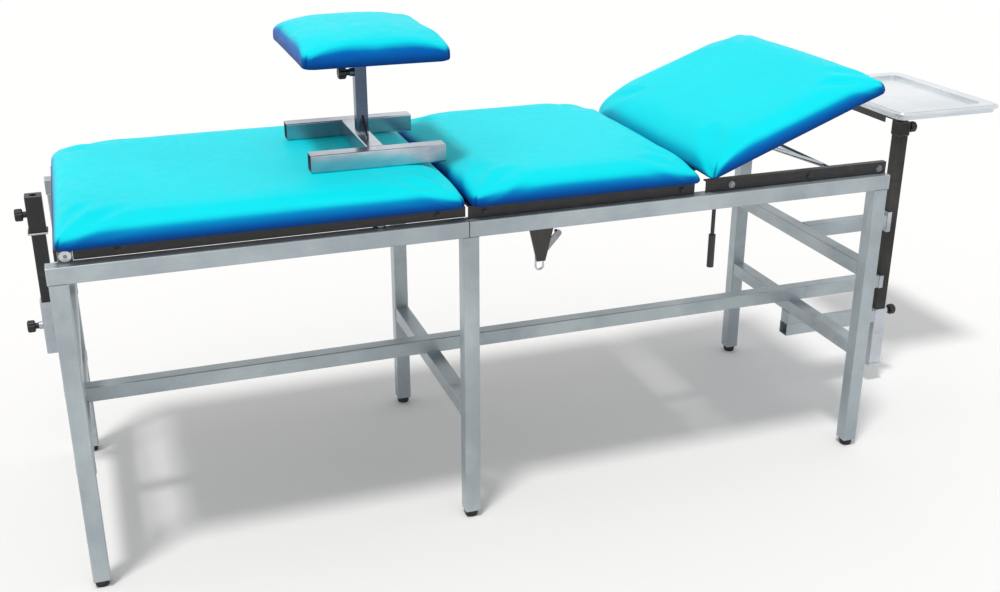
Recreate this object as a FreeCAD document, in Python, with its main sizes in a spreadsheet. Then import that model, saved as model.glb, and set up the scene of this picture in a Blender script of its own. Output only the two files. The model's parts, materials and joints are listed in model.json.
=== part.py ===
import FreeCAD, Part
import math
import os
import re
import Sketcher

# A three-section traction table: a square-tube frame on six legs, a foot section
# that rolls on bearings, a propped backrest, a post with a swivelling tray at the
# head end, a clamped post at the foot end and a lift-off flexion stool.
#
# Table coordinates: x runs from the foot end (0) to the head end, y is 0 on the
# centre line and negative on the near side, z is 0 on the floor. Every piece is
# laid out in them, and is then shifted so that the origin is under the middle of
# the whole table.

SIZES = (
    ("origin_x", 1164.0, "middle of the whole table along x"),
    ("origin_y", 51.0, "middle of the whole table along y"),
    ("table_length", 1845.0, "rails, foot end to head end"),
    ("frame_width", 630.0, "over the two side rails"),
    ("rail_top", 710.0, "height of the rails' top face"),
    ("tube", 35.0, "side of the square frame tube"),
    ("tube_wall", 1.6, "wall of the frame tube"),
    ("tube_corner", 3.0, "outer corner radius of the frame tube"),
    ("joint_x", 822.0, "where the two half frames meet"),
    ("joint_gap", 2.0, "gap between the two half frames' rails"),
    ("middle_leg_x", 826.0, "middle legs"),
    ("glide_height", 16.0, "rubber glide under each leg"),
    ("glide_top_radius", 17.0, "glide at the leg"),
    ("glide_floor_radius", 14.0, "glide at the floor"),
    ("cap_thick", 2.0, "plate that closes a rail's end"),
    ("low_bar_z", 265.0, "centre of the lower crossbars"),
    ("high_bar_z", 472.0, "centre of the head end's upper crossbar"),
    ("foot_bar_z", 440.0, "centre of the foot end's upper crossbar"),
    ("low_arm_z", 197.0, "centre of the lowest arm at the head end"),
    ("post_reach", 262.0, "head post, centre, from the rails' head end"),
    ("post_side", 30.0, "side of both posts"),
    ("post_wall", 2.0, "wall of both posts"),
    ("post_corner", 2.0, "outer corner radius of both posts"),
    ("slide_gap", 0.3, "clearance round a sliding post"),
    ("sleeve_side", 38.0, "outside of the sleeves"),
    ("sleeve_corner", 3.0, "outer corner radius of the sleeves"),
    ("guide_lip", 12.0, "depth of the guide channels' lips"),
    ("high_guide_height", 55.0, "guide channel on the upper arm"),
    ("sleeve_foot_z", 54.0, "bottom of the head post's sleeve"),
    ("sleeve_length", 164.0, "head post's sleeve"),
    ("sleeve_plate_side", 46.0, "plate under the sleeve"),
    ("sleeve_plate_thick", 4.0, "plate under the sleeve"),
    ("sleeve_knob_drop", 13.0, "knob below the sleeve's top"),
    ("post_block_side", 34.0, "block on top of the head post"),
    ("post_block_height", 36.0, "block on top of the head post"),
    ("post_top", 742.0, "top of the head post's block"),
    ("pin_radius", 8.0, "tray's swivel pin"),
    ("pin_length", 29.0, "swivel pin inside the block"),
    ("bore_gap", 0.08, "radial clearance of turning fits"),
    ("tray_length", 305.0, "tray along x"),
    ("tray_width", 432.0, "tray along y"),
    ("tray_inset", 15.0, "swivel pin in from the tray's edges"),
    ("tray_corner", 20.0, "outer corner radius of the tray"),
    ("tray_height", 20.0, "skirt of the tray"),
    ("tray_sheet", 2.0, "tray's sheet"),
    ("tray_flange", 28.0, "flat border round the recess"),
    ("tray_recess", 8.0, "depth of the recess"),
    ("tray_rim_radius", 5.0, "rod round the tray"),
    ("tray_gap", 4.3, "tray above the post's block"),
    ("boss_radius", 10.0, "boss under the tray's corner"),
    ("arm_length", 320.0, "arm under the tray, from its swivel pin"),
    ("arm_lip", 14.0, "downturned edge of the arm"),
    ("arm_lip_thick", 3.0, "downturned edge of the arm"),
    ("arm_lip_gap", 8.0, "downturned edge out from the tray's clamp knob"),
    ("foot_post_x", -26.0, "foot post, centre"),
    ("foot_post_y", 180.0, "foot post, centre"),
    ("foot_sleeve_z", 334.0, "bottom of the foot post's sleeve"),
    ("foot_sleeve_length", 126.0, "foot post's sleeve"),
    ("foot_knob_z", 399.0, "knob on the foot post's sleeve"),
    ("foot_post_z", 345.0, "bottom of the foot post"),
    ("foot_head_z", 626.0, "bottom of the foot post's clamp head"),
    ("foot_head_height", 82.0, "clamp head"),
    ("foot_head_side", 36.0, "clamp head"),
    ("foot_head_knob_z", 665.0, "knob on the clamp head"),
    ("foot_washer_side", 42.0, "plate under the clamp head"),
    ("foot_washer_thick", 4.0, "plate under the clamp head"),
    ("socket_radius", 8.0, "accessory socket in the clamp head"),
    ("socket_depth", 45.0, "accessory socket in the clamp head"),
    ("knob_radius", 14.0, "clamp knobs"),
    ("knob_head", 17.0, "length of a knob's head"),
    ("knob_hub", 8.0, "length of a knob's hub"),
    ("knob_hub_radius", 7.0, "hub of a knob"),
    ("knob_edge", 2.5, "bevel round a knob's head"),
    ("knob_scallop", 4.5, "radius of a knob's finger grooves"),
    ("stud_radius", 4.0, "knob's threaded stud"),
    ("knob_boss_radius", 9.0, "boss that takes a knob's stud"),
    ("knob_boss", 9.0, "length of that boss"),
    ("under_inset", 18.0, "under-frame in from the rails' outer faces"),
    ("angle_thick", 3.0, "sheet of the under-frame angles"),
    ("angle_flange", 35.0, "flat flange of the under-frame angles"),
    ("ledge_flange", 14.0, "flat flange of the backrest's ledges"),
    ("bed_z", 738.0, "underside of the boards when flat"),
    ("leg_bed_start", 16.0, "foot section's under-frame, foot end"),
    ("section_gap", 3.0, "foot section's under-frame to the joint"),
    ("roll_clear", 6.0, "rolling under-frame above the rails"),
    ("window_gap", 2.0, "window in the side flange, round a foot-end roller"),
    ("roller_radius", 12.0, "bearing rollers"),
    ("roller_width", 9.0, "bearing rollers"),
    ("roller_recess", 3.0, "groove beside a roller's hub"),
    ("roller_bore", 4.0, "axle of a roller"),
    ("roller_foot_x", 36.0, "foot-end rollers"),
    ("roller_seam_x", 640.0, "seam-end rollers"),
    ("roller_gap", 4.0, "rollers out from the rails' inner faces"),
    ("lug_thick", 4.0, "plates that carry the rollers"),
    ("lug_length", 26.0, "plates that carry the rollers"),
    ("lug_height", 44.0, "plates that carry the rollers"),
    ("board_thick", 10.0, "plywood boards"),
    ("board_inset", 4.0, "boards in from the cushions' edges"),
    ("cushion_overhang", 10.0, "cushions out beyond the rails, each side"),
    ("cushion_thick", 48.0, "padding above a board"),
    ("cushion_round", 18.0, "rounding of the cushions' edges"),
    ("leg_cushion_start", 14.0, "foot cushion, foot end"),
    ("seam_half", 2.0, "half of the foot seam"),
    ("middle_end", 1362.0, "middle cushion, head end"),
    ("middle_bevel", 12.0, "lean of the middle cushion's head end"),
    ("middle_frame_end", 1348.0, "middle under-frame, head end"),
    ("hinge_x", 1369.0, "backrest hinge"),
    ("hinge_z", 732.0, "backrest hinge"),
    ("backrest_lean", 21.0, "backrest above flat, degrees"),
    ("head_start", 7.0, "head cushion from the hinge"),
    ("head_length", 472.0, "head cushion"),
    ("head_bevel", 27.0, "lean of the head cushion's hinge end"),
    ("head_foot_skip", 5.0, "head board in from the cushion's hinge end"),
    ("hinge_radius", 6.0, "hinge knuckles"),
    ("hinge_pin_radius", 4.0, "hinge pins"),
    ("hinge_side", 200.0, "hinges from the centre line"),
    ("knuckle_length", 19.0, "one hinge knuckle"),
    ("knuckle_gap", 0.5, "between hinge knuckles"),
    ("leaf_thick", 3.0, "hinge leaves"),
    ("leaf_reach", 45.0, "moving hinge leaf"),
    ("prop_arm", 178.0, "hinge to prop pivot, and prop pivot to foot"),
    ("prop_rod", 5.0, "radius of the prop's rod"),
    ("prop_leg_inset", 25.0, "prop's two legs in from the rails' inner faces"),
    ("prop_foot_inset", 1.0, "ends of the prop's foot rod in from the rails' inner faces"),
    ("ear_inset", 55.0, "prop's ears in from the rails' inner faces"),
    ("ear_thick", 5.0, "prop's ears"),
    ("ear_half", 13.0, "half length of an ear"),
    ("ear_drop", 9.0, "ear below the pivot"),
    ("rack_start", 1618.0, "ratchet racks"),
    ("rack_length", 128.0, "ratchet racks"),
    ("rack_thick", 5.5, "ratchet racks"),
    ("rack_foot_z", 690.0, "bottom of the racks"),
    ("tooth_pitch", 16.0, "ratchet teeth"),
    ("tooth_depth", 9.0, "ratchet teeth"),
    ("tooth_land", 3.0, "flat tip of a tooth"),
    ("prop_gap", 0.3, "prop's foot above the teeth"),
    ("latch_x", 995.0, "middle of the latch bracket's top"),
    ("latch_top_z", 704.0, "latch bracket"),
    ("latch_half", 37.0, "half width of the bracket's top"),
    ("latch_tip_half", 10.0, "half width of the bracket's tip"),
    ("latch_drop", 114.0, "height of the latch bracket"),
    ("latch_thick", 4.0, "latch bracket and lever"),
    ("latch_pin_radius", 4.0, "latch pin"),
    ("latch_pin_up", 12.0, "latch pin above the bracket's tip"),
    ("latch_lever_length", 62.0, "latch lever"),
    ("latch_lever_half", 7.0, "half width of the latch lever"),
    ("latch_lean", 48.0, "latch lever above level, degrees"),
    ("bail_half", 10.5, "half width of the wire bail"),
    ("bail_length", 44.0, "wire bail"),
    ("bail_wire", 3.5, "wire of the bail"),
    ("release_x", 1418.0, "release lever"),
    ("release_z", 690.0, "pivot of the release lever"),
    ("release_plate", 30.0, "plate that carries the release lever"),
    ("release_plate_thick", 8.0, "plate that carries the release lever"),
    ("release_rod", 4.5, "rod of the release lever"),
    ("release_drop", 92.0, "pivot to grip"),
    ("release_grip", 78.0, "grip of the release lever"),
    ("release_grip_radius", 8.0, "grip of the release lever"),
    ("release_eye", 10.0, "eye of the release lever"),
    ("stool_x", 676.0, "flexion stool"),
    ("stool_bar", 38.0, "side of the stool's foot bars"),
    ("stool_bar_length", 290.0, "stool's foot bars"),
    ("stool_span", 317.0, "over the stool's foot bars"),
    ("stool_rest", 0.3, "stool above the cushion"),
    ("stool_post_side", 26.0, "stool's post"),
    ("stool_post_wall", 2.6, "stool's post"),
    ("stool_post_height", 150.0, "stool's post above the cross tube"),
    ("stool_stem_gap", 0.4, "stem inside the post"),
    ("stool_stem_in", 110.0, "stem's length inside the post"),
    ("stool_stem_out", 26.0, "stem above the post"),
    ("stool_plate", 130.0, "plate under the pad"),
    ("stool_plate_thick", 4.0, "plate under the pad"),
    ("stool_knob_down", 16.0, "knob below the post's top"),
    ("stool_gusset", 42.0, "gussets at the post's foot"),
    ("gusset_thick", 4.0, "gussets at the post's foot"),
    ("pad_length", 300.0, "stool pad along x"),
    ("pad_width", 362.0, "stool pad along y"),
    ("pad_thick", 58.0, "stool pad"),
)

TO_X = FreeCAD.Rotation(FreeCAD.Vector(0, 1, 0), 90)
TO_MINUS_X = FreeCAD.Rotation(FreeCAD.Vector(0, 1, 0), -90)
TO_Y = FreeCAD.Rotation(FreeCAD.Vector(1, 0, 0), -90)
UPRIGHT = FreeCAD.Rotation()
Y_AXIS = FreeCAD.Vector(0, 1, 0)

# Places that many pieces share, as texts for the sheet's aliases
SIDE_Y = "frame_width / 2 - tube / 2"
INNER_Y = "frame_width / 2 - tube"
LEG_TOP = "rail_top - tube"
RAIL_Z = "rail_top - tube / 2"
HEAD_LEG_X = "table_length - tube / 2"
POST_X = "table_length + post_reach"
STRETCHER_Z = "low_bar_z + tube"
UNDER_Y = "frame_width / 2 - under_inset"
BOARD_TOP = "bed_z + board_thick"
CUSHION_TOP = "bed_z + board_thick + cushion_thick"
CUSHION_WIDTH = "(frame_width + 2 * cushion_overhang)"
ROLLER_Z = "bed_z - angle_thick - slide_gap - roller_radius"
SLEEVE_WALL = "(sleeve_side - post_side) / 2 - slide_gap"
SLEEVE_TOP = "sleeve_foot_z + sleeve_length"
BLOCK_FOOT = "post_top - post_block_height"
TRAY_FOOT = "post_top + tray_gap"
TOOTH_TIP = "hinge_z - prop_rod - prop_gap"
LATCH_PIN_Z = "latch_top_z - latch_drop + latch_pin_up"
STOOL_FOOT = CUSHION_TOP + " + stool_rest"
STOOL_POST_FOOT = STOOL_FOOT + " + stool_bar"
STOOL_POST_TOP = STOOL_POST_FOOT + " + stool_post_height"
STOOL_PLATE_Z = STOOL_POST_TOP + " + stool_stem_out"
HINGE_TURN = ("hinge_x", "0", "hinge_z", Y_AXIS, "-backrest_lean")

os.makedirs("parts", exist_ok=True)
doc = FreeCAD.newDocument("traction_table")
sheet = doc.addObject("Spreadsheet::Sheet", "sizes")
aliases = set()
for row, (alias, value, note) in enumerate(SIZES, 1):
    sheet.set("A%d" % row, note)
    sheet.set("B%d" % row, str(value))
    sheet.setAlias("B%d" % row, alias)
    aliases.add(alias)
doc.recompute()

nodes = []
counter = [0]


def spell(text):
    """Put the sheet's name before every alias in an expression."""
    def named(match):
        word = match.group(0)
        return "sizes." + word if word in aliases else word

    return re.sub(r"[A-Za-z_]\w*", named, text)


def bind(item, **texts):
    for name, text in texts.items():
        item.setExpression(name, spell(text))


def fresh(kind, hint):
    counter[0] += 1
    return doc.addObject(kind, "%s_%d" % (hint, counter[0]))


def put(item, x="0", y="0", z="0", turn=UPRIGHT, axis=None, angle=None, shift=False):
    """Place an object, at a fixed turn or at an angle taken from the sheet."""
    if axis is None:
        item.Placement = FreeCAD.Placement(FreeCAD.Vector(), turn)
    else:
        item.Placement = FreeCAD.Placement(FreeCAD.Vector(), FreeCAD.Rotation(axis, 10))
        item.setExpression("Placement.Rotation.Angle", spell(angle))
    item.setExpression("Placement.Base.x", spell("(%s)%s" % (x, " - origin_x" if shift else "")))
    item.setExpression("Placement.Base.y", spell("(%s)%s" % (y, " - origin_y" if shift else "")))
    item.setExpression("Placement.Base.z", spell(z))
    return item


def node(label, item, x="0", y="0", z="0", axis=None, angle=None):
    """Make one finished piece a sub-part: its label names its file."""
    if isinstance(item, (list, tuple)):
        pieces = fresh("Part::Compound", label)
        pieces.Links = list(item)
        item = pieces
    put(item, x, y, z, axis=axis, angle=angle, shift=True)
    item.Label = label
    nodes.append(item)
    return item


def box(x, y, z, length, width, height):
    """A box from its lowest corner."""
    item = fresh("Part::Box", "box")
    bind(item, Length=length, Width=width, Height=height)
    return put(item, x, y, z)


def rod(x, y, z, radius, length, turn=UPRIGHT):
    item = fresh("Part::Cylinder", "rod")
    bind(item, Radius=radius, Height=length)
    return put(item, x, y, z, turn)


def fuse(*items):
    item = fresh("Part::MultiFuse", "joined")
    item.Shapes = list(items)
    item.Refine = True
    return item


def cut(base, *tools):
    item = fresh("Part::Cut", "cut")
    item.Base = base
    item.Tool = tools[0] if len(tools) == 1 else fuse(*tools)
    return item


def body(hint):
    return fresh("PartDesign::Body", hint)


def origin_part(owner, role):
    return [part for part in owner.Origin.OriginFeatures if part.Role == role][0]


def sketch(owner, role, hint):
    counter[0] += 1
    item = owner.newObject("Sketcher::SketchObject", "%s_%d" % (hint, counter[0]))
    item.AttachmentSupport = [(origin_part(owner, role), "")]
    item.MapMode = "FlatFace"
    return item


def measure(item, kind, corner, text, start):
    """Hold one coordinate of a sketch's corner, from the sketch's origin."""
    if text == "0":
        axis = -2 if kind == "DistanceX" else -1
        item.addConstraint(Sketcher.Constraint("PointOnObject", corner, 1, axis))
        return
    spot = item.addConstraint(Sketcher.Constraint(kind, -1, 1, corner, 1, start))
    item.setExpression("Constraints[%d]" % spot, spell(text))


def outline(owner, role, points, hint="outline"):
    """A closed outline of straight runs, each corner held by the sheet's sizes."""
    item = sketch(owner, role, hint)
    count = len(points)
    spots = []
    for i in range(count):
        turn = 2 * math.pi * i / count
        spots.append(FreeCAD.Vector(50 * math.cos(turn), 50 * math.sin(turn), 0))
    for i in range(count):
        item.addGeometry(Part.LineSegment(spots[i], spots[(i + 1) % count]), False)
    for i in range(count):
        item.addConstraint(Sketcher.Constraint("Coincident", i, 2, (i + 1) % count, 1))
    for i, (x, y) in enumerate(points):
        measure(item, "DistanceX", i, x, spots[i].x)
        measure(item, "DistanceY", i, y, spots[i].y)
    return item


def rounded(item, width, height, radius, start=(40.0, 40.0, 5.0)):
    """Add a rounded rectangle to a sketch, centred on its origin."""
    half_w = start[0] / 2
    half_h = start[1] / 2
    r = start[2]
    first = item.GeometryCount
    point = FreeCAD.Vector
    up = point(0, 0, 1)
    quarter = math.pi / 2
    item.addGeometry(Part.LineSegment(point(r - half_w, -half_h, 0), point(half_w - r, -half_h, 0)))
    item.addGeometry(Part.ArcOfCircle(Part.Circle(point(half_w - r, r - half_h, 0), up, r), -quarter, 0))
    item.addGeometry(Part.LineSegment(point(half_w, r - half_h, 0), point(half_w, half_h - r, 0)))
    item.addGeometry(Part.ArcOfCircle(Part.Circle(point(half_w - r, half_h - r, 0), up, r), 0, quarter))
    item.addGeometry(Part.LineSegment(point(half_w - r, half_h, 0), point(r - half_w, half_h, 0)))
    far_left = Part.Circle(point(r - half_w, half_h - r, 0), up, r)
    item.addGeometry(Part.ArcOfCircle(far_left, quarter, 2 * quarter))
    item.addGeometry(Part.LineSegment(point(-half_w, half_h - r, 0), point(-half_w, r - half_h, 0)))
    near_left = Part.Circle(point(r - half_w, r - half_h, 0), up, r)
    item.addGeometry(Part.ArcOfCircle(near_left, 2 * quarter, 3 * quarter))
    for i in range(8):
        item.addConstraint(Sketcher.Constraint("Tangent", first + i, 2, first + (i + 1) % 8, 1))
    for i in (0, 4):
        item.addConstraint(Sketcher.Constraint("Horizontal", first + i))
    for i in (2, 6):
        item.addConstraint(Sketcher.Constraint("Vertical", first + i))
    for i in (3, 5, 7):
        item.addConstraint(Sketcher.Constraint("Equal", first + 1, first + i))
    item.addConstraint(Sketcher.Constraint("Symmetric", first, 1, first + 4, 1, -1, 1))
    spot = item.addConstraint(Sketcher.Constraint("Radius", first + 1, r))
    item.setExpression("Constraints[%d]" % spot, spell(radius))
    spot = item.addConstraint(Sketcher.Constraint("DistanceX", first + 6, 1, first + 2, 1, 2 * half_w))
    item.setExpression("Constraints[%d]" % spot, spell(width))
    spot = item.addConstraint(Sketcher.Constraint("DistanceY", first, 1, first + 4, 1, 2 * half_h))
    item.setExpression("Constraints[%d]" % spot, spell(height))
    return item


def pad(owner, profile, length, both_ways=False, reverse=False):
    counter[0] += 1
    item = owner.newObject("PartDesign::Pad", "pad_%d" % counter[0])
    item.Profile = profile
    item.Midplane = both_ways
    item.Reversed = reverse
    item.setExpression("Length", spell(length))
    profile.Visibility = False
    return item


def plate(points, role, length, both_ways=False, reverse=False):
    """A flat piece: an outline on one of the body's planes, padded."""
    owner = body("plate")
    pad(owner, outline(owner, role, points), length, both_ways, reverse)
    return owner


def bar(
    x, y, z, length, turn=UPRIGHT, side="tube", corner="tube_corner", wall=None, start=(40.0, 40.0, 5.0)
):
    """A square bar, or a square tube where it has a wall, from the middle of its first end."""
    owner = body("bar")
    profile = sketch(owner, "XY_Plane", "section")
    rounded(profile, side, side, corner, start)
    if wall:
        hollow = "%s - 2 * (%s)" % (side, wall)
        inner_corner = "max(%s - (%s); 0.5)" % (corner, wall)
        rounded(profile, hollow, hollow, inner_corner, (start[0] - 10, start[1] - 10, 2.0))
    pad(owner, profile, length)
    return put(owner, x, y, z, turn)


def frame_tube(x, y, z, length, turn=UPRIGHT):
    return bar(x, y, z, length, turn, wall="tube_wall")


def prism(width, depth, corner, height, z="0", start=(360.0, 420.0, 20.0)):
    """A rounded rectangle standing on z, centred."""
    owner = body("prism")
    profile = sketch(owner, "XY_Plane", "section")
    rounded(profile, width, depth, corner, start)
    pad(owner, profile, height)
    return put(owner, z=z)


def cushion(start, end, width, foot, height, lean_start="0", lean_end="0"):
    """Padding with level faces, ends that may lean inwards, and rounded upper edges."""
    owner = body("cushion")
    points = (
        (start, foot),
        (end, foot),
        ("%s - (%s)" % (end, lean_end), "%s + %s" % (foot, height)),
        ("%s + %s" % (start, lean_start), "%s + %s" % (foot, height)),
    )
    block = pad(owner, outline(owner, "XZ_Plane", points, "side_view"), width, both_ways=True)
    doc.recompute()
    lowest = block.Shape.BoundBox.ZMin
    names = []
    for number, edge in enumerate(block.Shape.Edges, 1):
        if edge.BoundBox.ZMax > lowest + 1:
            names.append("Edge%d" % number)
    soft = owner.newObject("PartDesign::Fillet", "soft_edges")
    soft.Base = (block, names)
    soft.setExpression("Radius", spell("cushion_round"))
    return owner


def knob(stud):
    """A clamp knob with finger grooves. Its axis is z and its hub starts at 0."""
    owner = body("knob")
    top = "knob_hub + knob_head"
    points = (
        ("0", "-(%s)" % stud),
        ("stud_radius", "-(%s)" % stud),
        ("stud_radius", "0"),
        ("knob_hub_radius", "0"),
        ("knob_hub_radius", "knob_hub"),
        ("knob_radius - knob_edge", "knob_hub"),
        ("knob_radius", "knob_hub + knob_edge"),
        ("knob_radius", top + " - knob_edge"),
        ("knob_radius - knob_edge", top),
        ("0", top),
    )
    profile = outline(owner, "XZ_Plane", points, "half_section")
    turned = owner.newObject("PartDesign::Revolution", "turned")
    turned.Profile = profile
    turned.ReferenceAxis = (profile, ["V_Axis"])
    turned.Angle = 360
    groove = sketch(owner, "XY_Plane", "groove")
    groove.addGeometry(Part.Circle(FreeCAD.Vector(18, 0, 0), FreeCAD.Vector(0, 0, 1), 4.5), False)
    groove.addConstraint(Sketcher.Constraint("PointOnObject", 0, 3, -1))
    spot = groove.addConstraint(Sketcher.Constraint("DistanceX", -1, 1, 0, 3, 18))
    groove.setExpression("Constraints[%d]" % spot, spell("knob_radius + knob_scallop / 2"))
    spot = groove.addConstraint(Sketcher.Constraint("Radius", 0, 4.5))
    groove.setExpression("Constraints[%d]" % spot, spell("knob_scallop"))
    pocket = owner.newObject("PartDesign::Pocket", "finger_groove")
    pocket.Profile = groove
    pocket.Type = "ThroughAll"
    pocket.Midplane = True
    ring = owner.newObject("PartDesign::PolarPattern", "finger_grooves")
    ring.Originals = [pocket]
    ring.Axis = (origin_part(owner, "Z_Axis"), [""])
    ring.Angle = 360
    ring.Occurrences = 6
    owner.Tip = ring
    return owner


def knob_seat(x, y, z, boss, turn):
    """The boss that takes a knob's stud, from the face that it stands on."""
    return rod(x, y, z, "knob_boss_radius", boss, turn)


# The side rails: two half frames that meet over the middle legs
for side, sign in (("near", "-1"), ("far", "1")):
    across = "%s * (%s)" % (sign, SIDE_Y)
    node("foot_rail_" + side, [frame_tube("0", across, RAIL_Z, "joint_x - joint_gap / 2", TO_X)])
    node(
        "head_rail_" + side,
        [
            frame_tube(
                "joint_x + joint_gap / 2", across, RAIL_Z, "table_length - joint_x - joint_gap / 2", TO_X
            )
        ],
    )
caps = []
for sign in ("-1", "1"):
    across = "%s * (%s)" % (sign, SIDE_Y)
    caps.append(bar("-cap_thick", across, RAIL_Z, "cap_thick", TO_X))
    caps.append(bar("table_length", across, RAIL_Z, "cap_thick", TO_X))
node("rail_end_caps", caps)

# Legs in pairs, and a rubber glide under each
glides = []
for label, along in (("foot_legs", "tube / 2"), ("middle_legs", "middle_leg_x"), ("head_legs", HEAD_LEG_X)):
    pair = []
    for sign in ("-1", "1"):
        across = "%s * (%s)" % (sign, SIDE_Y)
        pair.append(frame_tube(along, across, "glide_height", LEG_TOP + " - glide_height"))
        glide = fresh("Part::Cone", "glide")
        bind(glide, Radius1="glide_floor_radius", Radius2="glide_top_radius", Height="glide_height")
        glides.append(put(glide, along, across))
    node(label, pair)
node("rubber_glides", glides)

# Crossbars between the legs, and the stretcher that lies on the lower ones
for label, along, height in (
    ("foot_upper_crossbar", "tube / 2", "foot_bar_z"),
    ("foot_lower_crossbar", "tube / 2", "low_bar_z"),
    ("middle_crossbar", "middle_leg_x", "low_bar_z"),
    ("head_upper_crossbar", HEAD_LEG_X, "high_bar_z"),
    ("head_lower_crossbar", HEAD_LEG_X, "low_bar_z"),
):
    node(label, [frame_tube(along, "-(%s)" % INNER_Y, height, "2 * (%s)" % INNER_Y, TO_Y)])
node("stretcher", [frame_tube("0", "0", STRETCHER_Z, "table_length", TO_X)])

# The arms that carry the head post, its two guide channels and its sleeve
arm_length = "post_reach - sleeve_side / 2"
node("head_upper_arm", [frame_tube("table_length", "0", "high_bar_z", arm_length, TO_X)])
node("head_middle_arm", [frame_tube("table_length", "0", STRETCHER_Z, arm_length, TO_X)])
low_arm = frame_tube("table_length - tube", "0", "low_arm_z", arm_length + " + tube", TO_X)
drop = frame_tube(HEAD_LEG_X, "0", "low_arm_z + tube / 2", "low_bar_z - low_arm_z - tube")
node("head_lower_arm", [low_arm, drop])

half = "sleeve_side / 2"
wall_in = "sleeve_side / 2 - (%s)" % SLEEVE_WALL
lip = "guide_lip - sleeve_side / 2"
channel = (
    ("-" + half, "-" + half),
    (lip, "-" + half),
    (lip, "-(%s)" % wall_in),
    ("-(%s)" % wall_in, "-(%s)" % wall_in),
    ("-(%s)" % wall_in, wall_in),
    (lip, wall_in),
    (lip, half),
    ("-" + half, half),
)
high_guide = plate(channel, "XY_Plane", "high_guide_height")
put(high_guide, POST_X, "0", "high_bar_z - high_guide_height / 2")
middle_guide = put(plate(channel, "XY_Plane", "tube"), POST_X, "0", "low_bar_z + tube / 2")
node("head_post_guides", [high_guide, middle_guide])


def sleeve(x, y, foot, length, knob_z, direction, turn, extras):
    """A square sleeve for a post, with a boss and a bore for its clamp knob."""
    shell = bar(x, y, foot, length, side="sleeve_side", corner="sleeve_corner", wall=SLEEVE_WALL)
    face = "%s %s sleeve_side / 2" % (x, direction)
    boss = knob_seat(face, y, knob_z, "knob_boss", turn)
    back = "+" if direction == "-" else "-"
    reach = "%s %s (%s) %s 1" % (face, back, SLEEVE_WALL, back)
    bore = rod(reach, y, knob_z, "stud_radius + bore_gap", "knob_boss + 2 + (%s)" % SLEEVE_WALL, turn)
    return cut(fuse(shell, boss, *extras), bore)


half_plate = "sleeve_plate_side / 2"
foot_plate = box(
    POST_X + " - " + half_plate, "-" + half_plate, "sleeve_foot_z - sleeve_plate_thick",
    "sleeve_plate_side", "sleeve_plate_side", "sleeve_plate_thick",
)
head_knob_z = SLEEVE_TOP + " - sleeve_knob_drop"
node(
    "head_post_sleeve",
    sleeve(POST_X, "0", "sleeve_foot_z", "sleeve_length", head_knob_z, "+", TO_X, [foot_plate]),
)
stand_off = box(
    "foot_post_x + sleeve_side / 2", "foot_post_y - sleeve_side / 2", "foot_bar_z - tube / 2",
    "-foot_post_x - sleeve_side / 2", "sleeve_side",
    "foot_sleeve_z + foot_sleeve_length - foot_bar_z + tube / 2",
)
node(
    "foot_post_sleeve",
    sleeve(
        "foot_post_x", "foot_post_y", "foot_sleeve_z", "foot_sleeve_length", "foot_knob_z", "-", TO_MINUS_X,
        [stand_off],
    ),
)

# Head post: a square tube and the block that takes the tray's pin
post_foot = "sleeve_foot_z + slide_gap"
node(
    "head_post",
    [bar(POST_X, "0", post_foot, BLOCK_FOOT + " - (%s)" % post_foot, side="post_side", corner="post_corner",
         wall="post_wall")],
)
block = bar(POST_X, "0", BLOCK_FOOT, "post_block_height", side="post_block_side", corner="post_corner")
pin_bore = rod(POST_X, "0", "post_top - pin_length - 1", "pin_radius + bore_gap", "pin_length + 2")
tray_knob_z = "post_top - post_block_height / 2"
stud_bore = rod(POST_X, "0", tray_knob_z, "stud_radius + bore_gap", "post_block_side", TO_X)
node("head_post_block", cut(block, pin_bore, stud_bore))

# Tray: a folded sheet with a recess, a rod round its edge and the pin that it turns on
tray_mid_x = POST_X + " - tray_inset + tray_length / 2"
tray_mid_y = "tray_width / 2 - tray_inset"
recess_side = "2 * tray_flange"
sheet_side = "2 * tray_sheet"
wall_side = "2 * (tray_flange - tray_sheet)"
outer = prism("tray_length", "tray_width", "tray_corner", "tray_height")
recess = prism(
    "tray_length - " + recess_side, "tray_width - " + recess_side, "tray_corner", "tray_recess + 1",
    "tray_height - tray_recess",
)
inner = prism(
    "tray_length - " + sheet_side, "tray_width - " + sheet_side, "tray_corner - tray_sheet",
    "tray_height - tray_sheet + 1", "-1",
)
pan_wall = prism(
    "tray_length - " + wall_side, "tray_width - " + wall_side, "tray_corner", "tray_height",
    "tray_height - tray_recess - tray_sheet",
)
hollow = cut(inner, pan_wall)
node("tray_pan", cut(outer, recess, hollow), tray_mid_x, tray_mid_y, TRAY_FOOT)

rim = body("rim")
grow = "2 * (tray_rim_radius + 0.2)"
path = sketch(rim, "XY_Plane", "path")
rounded(
    path, "tray_length + " + grow, "tray_width + " + grow, "tray_corner + tray_rim_radius + 0.2",
    (390.0, 440.0, 25.0),
)
ring = sketch(rim, "YZ_Plane", "ring")
ring.addGeometry(Part.Circle(FreeCAD.Vector(-220, 0, 0), FreeCAD.Vector(0, 0, 1), 5), False)
ring.addConstraint(Sketcher.Constraint("PointOnObject", 0, 3, -1))
spot = ring.addConstraint(Sketcher.Constraint("DistanceX", 0, 3, -1, 1, 220))
ring.setExpression("Constraints[%d]" % spot, spell("tray_width / 2 + tray_rim_radius + 0.2"))
spot = ring.addConstraint(Sketcher.Constraint("Radius", 0, 5))
ring.setExpression("Constraints[%d]" % spot, spell("tray_rim_radius"))
swept = rim.newObject("PartDesign::AdditivePipe", "swept")
swept.Profile = ring
swept.Spine = (path, [])
node("tray_rim", [put(rim, tray_mid_x, tray_mid_y, TRAY_FOOT + " + tray_height - tray_rim_radius")])

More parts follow.
